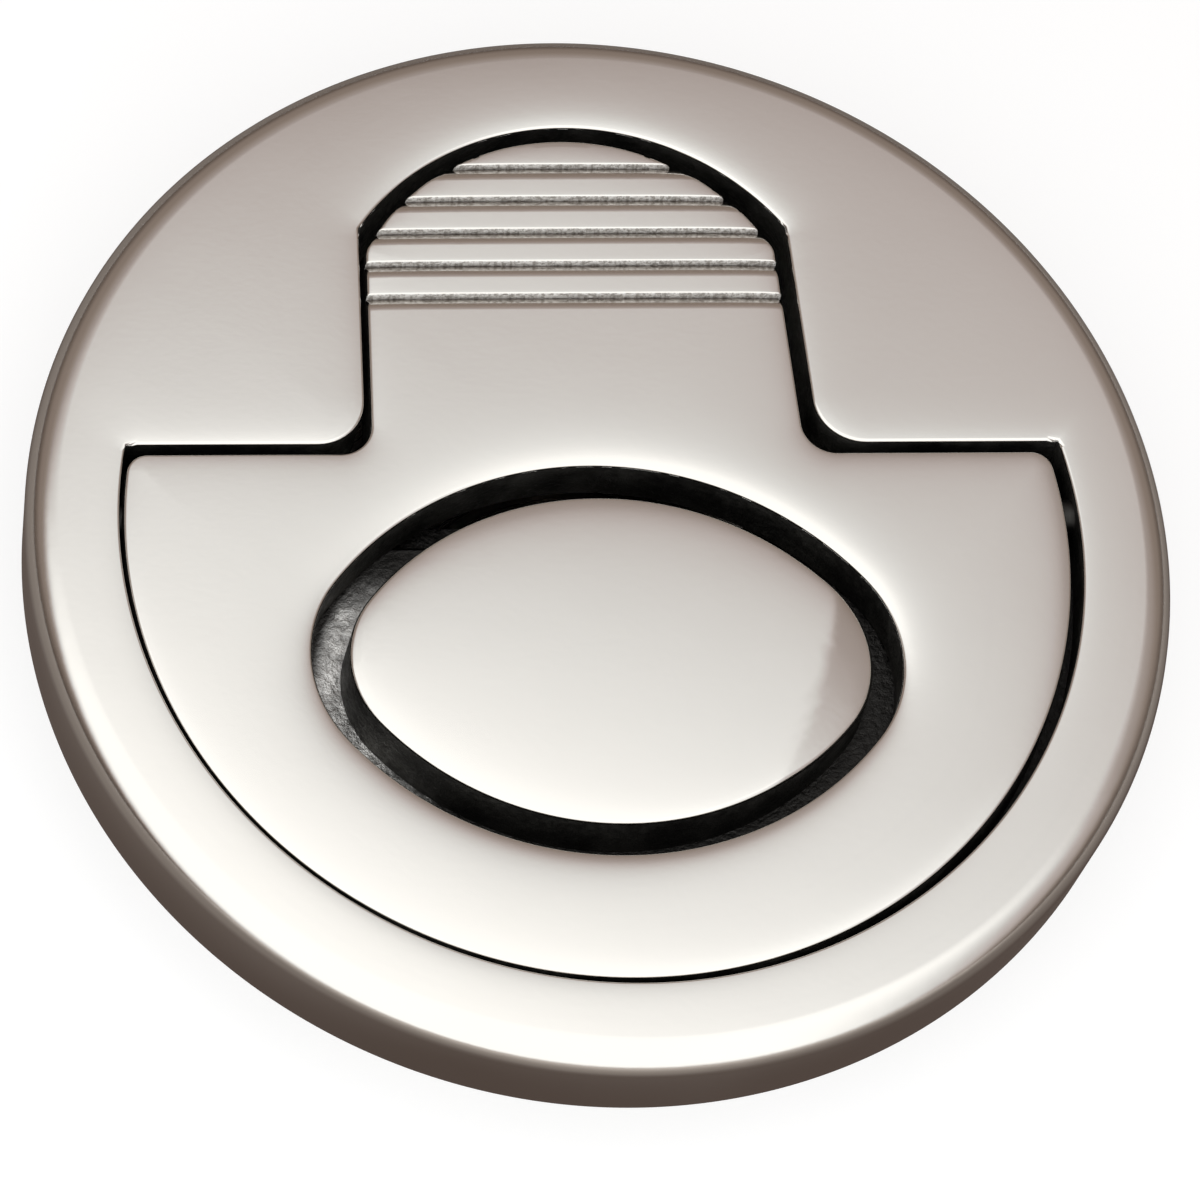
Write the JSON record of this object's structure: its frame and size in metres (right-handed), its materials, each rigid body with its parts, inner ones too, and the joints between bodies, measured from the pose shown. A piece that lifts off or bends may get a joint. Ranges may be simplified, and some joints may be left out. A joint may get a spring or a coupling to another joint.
{
  "type": "recessed pull handle",
  "caption": "Round plated brass plate with a flush D-shaped ring in its pocket: pressing the ribbed thumb tab tips the ring up for a finger to pull.",
  "frame": {"origin": "on the plate's axis, in the plane of its flat back, which seats on the panel; the rear cup hangs below it", "axes": "+Z out of the panel through the face, +Y from the D's arc towards the thumb tab, X along the pivot pins"},
  "size_m": [0.061, 0.061, 0.0133],
  "materials": {
    "plated_plate": "satin nickel plate over cast brass, softly buffed front, as-cast pocket",
    "plated_ring": "satin nickel plate over cast brass, softly buffed front, as-cast back and hole wall",
    "plated_cup": "thin nickel plate over turned brass",
    "pin_steel": "ground stainless steel, plated over at the rim",
    "screw_steel": "stainless steel",
    "spring_steel": "drawn spring wire"
  },
  "bodies": {
    "base": {"face_plate": "plated_plate", "pivot_pin_left": "pin_steel", "pivot_pin_right": "pin_steel", "rear_cup": "plated_cup", "cup_screw_1": "screw_steel", "cup_screw_2": "screw_steel", "cup_screw_3": "screw_steel", "return_spring": "spring_steel"},
    "ring": {"pull_ring": "plated_ring"}
  },
  "joints": [
    {"name": "ring_tilt", "type": "hinge", "parent": "base", "child": "ring", "pos_m": [0, 0.0024, 0.00475], "axis": [-1, 0, 0], "range_deg": [0, 26.5], "stiffness_Nm_per_rad": 0.09, "springref_deg": -6.88, "deforming": ["return_spring"]}
  ]
}
